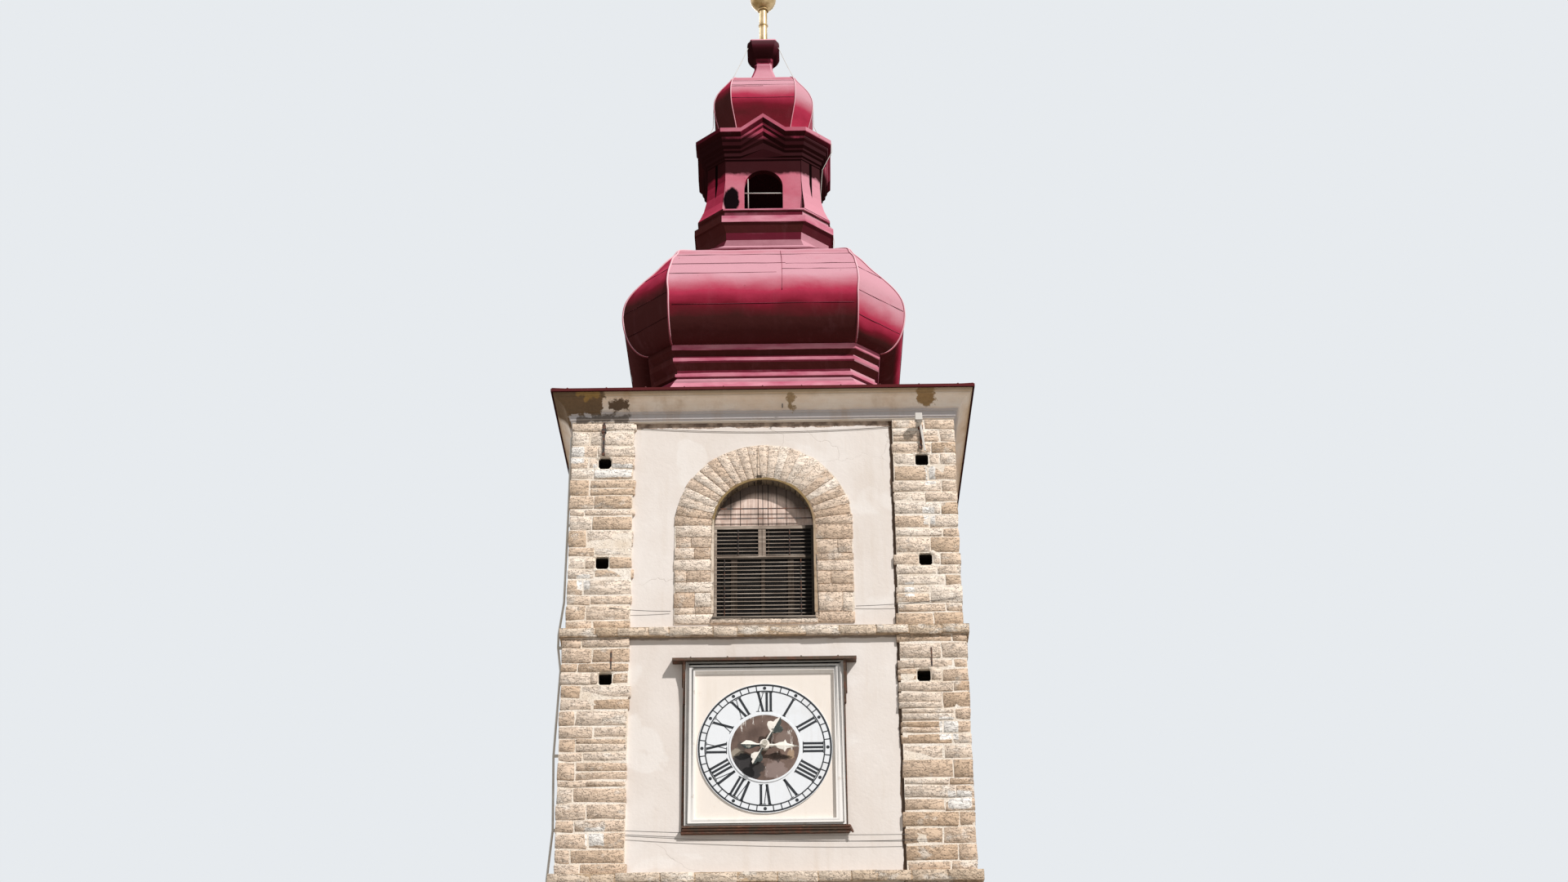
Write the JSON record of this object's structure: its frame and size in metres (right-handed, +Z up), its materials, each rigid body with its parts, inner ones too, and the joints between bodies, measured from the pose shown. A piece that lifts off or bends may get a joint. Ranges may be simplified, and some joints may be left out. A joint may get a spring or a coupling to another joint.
{
  "type": "clock tower",
  "caption": "Square stone and plaster clock tower with arched bell windows and a crimson double bulb roof with an open lantern.",
  "frame": {"origin": "middle of the tower's plan at ground level", "axes": "+Z up; -Y is the side with the clock; +X to the right of that side as seen from in front"},
  "size_m": [8.24, 8.24, 36.338],
  "materials": {
    "plaster": "weathered off-white lime plaster",
    "stone": "rough rubble stone with pale mortar",
    "dressed_stone": "dressed stone, worn and lime-washed in places",
    "roof_sheet": "crimson painted sheet, faded and streaked",
    "eaves_sheet": "dull red painted sheet",
    "gilt": "weathered gilding",
    "floor_boards": "rough sawn boards",
    "floor_stone": "worn stone slabs",
    "door_wood": "dark stained boards",
    "shutter_wood": "bare greyed boards",
    "clock_board": "cream painted boards",
    "clock_frame": "white painted timber",
    "canopy_sheet": "brown painted sheet with rust",
    "dial_white": "white enamel paint",
    "dial_brown": "brown paint",
    "hand_white": "pale paint",
    "arbor_metal": "dull brass",
    "lead_metal": "matt"
  },
  "bodies": {
    "tower": {"lower_front_wall": "plaster", "lower_back_wall": "plaster", "lower_left_wall": "plaster", "lower_right_wall": "plaster", "clock_front_wall": "plaster", "clock_back_wall": "plaster", "clock_left_wall": "plaster", "clock_right_wall": "plaster", "bell_front_wall": "plaster", "bell_back_wall": "plaster", "bell_left_wall": "plaster", "bell_right_wall": "plaster", "front_left_pier": "stone", "front_right_pier": "stone", "back_left_pier": "stone", "back_right_pier": "stone", "string_courses": "dressed_stone", "ground_floor": "floor_stone", "timber_floors": "floor_boards", "roof_deck": "floor_boards", "door_surround": "dressed_stone", "door_leaf": "door_wood", "window_surrounds": "dressed_stone", "window_shutters": "shutter_wood", "clock_board": "clock_board", "clock_frame": "clock_frame", "clock_canopy": "canopy_sheet", "clock_dial": "dial_white", "dial_centre": "dial_brown", "clock_arbor": "arbor_metal", "cornice": "plaster", "eaves_roof": "eaves_sheet", "dome_drum": "roof_sheet", "main_bulb": "roof_sheet", "lantern_base": "roof_sheet", "lantern_body": "roof_sheet", "lantern_cornice": "roof_sheet", "upper_bulb": "roof_sheet", "finial_knob": "roof_sheet", "finial_rod": "gilt", "finial_ball": "gilt", "finial_cross": "gilt", "lightning_lead": "lead_metal"},
    "minute_hand_body": {"minute_hand": "hand_white"},
    "hour_hand_body": {"hour_hand": "hand_white"}
  },
  "joints": [
    {"name": "minute_turn", "type": "hinge", "parent": "tower", "child": "minute_hand_body", "pos_m": [0, -3.9, 15.07], "axis": [0, 1, 0], "continuous": true},
    {"name": "hour_turn", "type": "hinge", "parent": "tower", "child": "hour_hand_body", "pos_m": [0, -3.9, 15.07], "axis": [0, 1, 0], "continuous": true}
  ],
  "couplings": [
    {"joint": "hour_turn", "follows": "minute_turn", "ratio": 0.083333}
  ]
}
